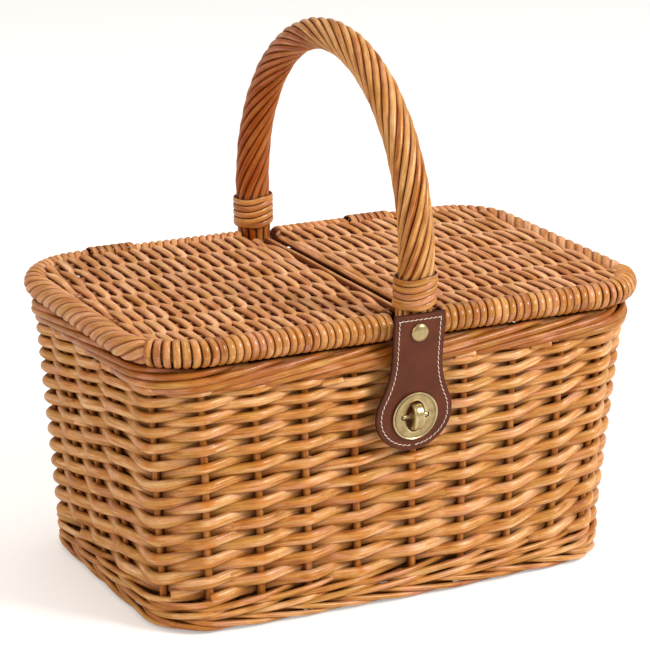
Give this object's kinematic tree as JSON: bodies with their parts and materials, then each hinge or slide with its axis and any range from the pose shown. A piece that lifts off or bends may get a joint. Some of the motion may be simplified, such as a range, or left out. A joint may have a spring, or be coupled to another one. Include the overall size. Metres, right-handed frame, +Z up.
{
  "type": "picnic basket",
  "caption": "Rectangular woven willow pie basket with two lift-up half lids, a twisted arch handle and a brown leather tab with a brass turn lock",
  "frame": {"origin": "on the ground under the middle of the basket", "axes": "+Z up, -Y towards the front with the leather tab, +X to the right of someone who faces the front"},
  "size_m": [0.4184, 0.2923, 0.4029],
  "materials": {
    "willow": "varnished golden willow rods",
    "lid_willow": "dull peeled willow rods",
    "cane": "glossy orange cane",
    "leather": "smooth reddish brown, slight sheen",
    "brass": "antique brass, satin"
  },
  "bodies": {
    "basket": {"floor_weave": "willow", "foot_border": "willow", "lower_waling": "willow", "side_weave": "willow", "top_border": "willow", "handle_core": "willow", "handle_rods": "willow", "front_collar": "cane", "back_collar": "cane", "left_hinge_binding": "cane", "right_hinge_binding": "cane", "lock_base": "brass", "tab_rivet": "brass", "tab_top": "leather"},
    "left_lid": {"left_lid_rim": "lid_willow", "left_lid_front_wrap": "cane", "left_lid_seam_stick": "lid_willow", "left_lid_weave": "lid_willow"},
    "right_lid": {"right_lid_rim": "lid_willow", "right_lid_front_wrap": "cane", "right_lid_seam_stick": "lid_willow", "right_lid_weave": "lid_willow"},
    "tab": {"tab_flap": "leather", "lock_plate": "brass"},
    "knob": {"turn_knob": "brass"}
  },
  "joints": [
    {"name": "left_lid_hinge", "type": "hinge", "parent": "basket", "child": "left_lid", "pos_m": [-0.123, 0.122, 0.209], "axis": [-1, 0, 0], "range_deg": [0, 42]},
    {"name": "right_lid_hinge", "type": "hinge", "parent": "basket", "child": "right_lid", "pos_m": [0.0965, 0.122, 0.209], "axis": [-1, 0, 0], "range_deg": [0, 42]},
    {"name": "tab_bend", "type": "hinge", "parent": "basket", "child": "tab", "pos_m": [-0.0033, -0.14153, 0.19628], "axis": [-1, 0, 0], "range_deg": [0, 110]},
    {"name": "knob_turn", "type": "hinge", "parent": "basket", "child": "knob", "pos_m": [-0.0033, -0.13473, 0.14648], "axis": [0, -0.9965, -0.0837], "range_deg": [0, 90]}
  ]
}
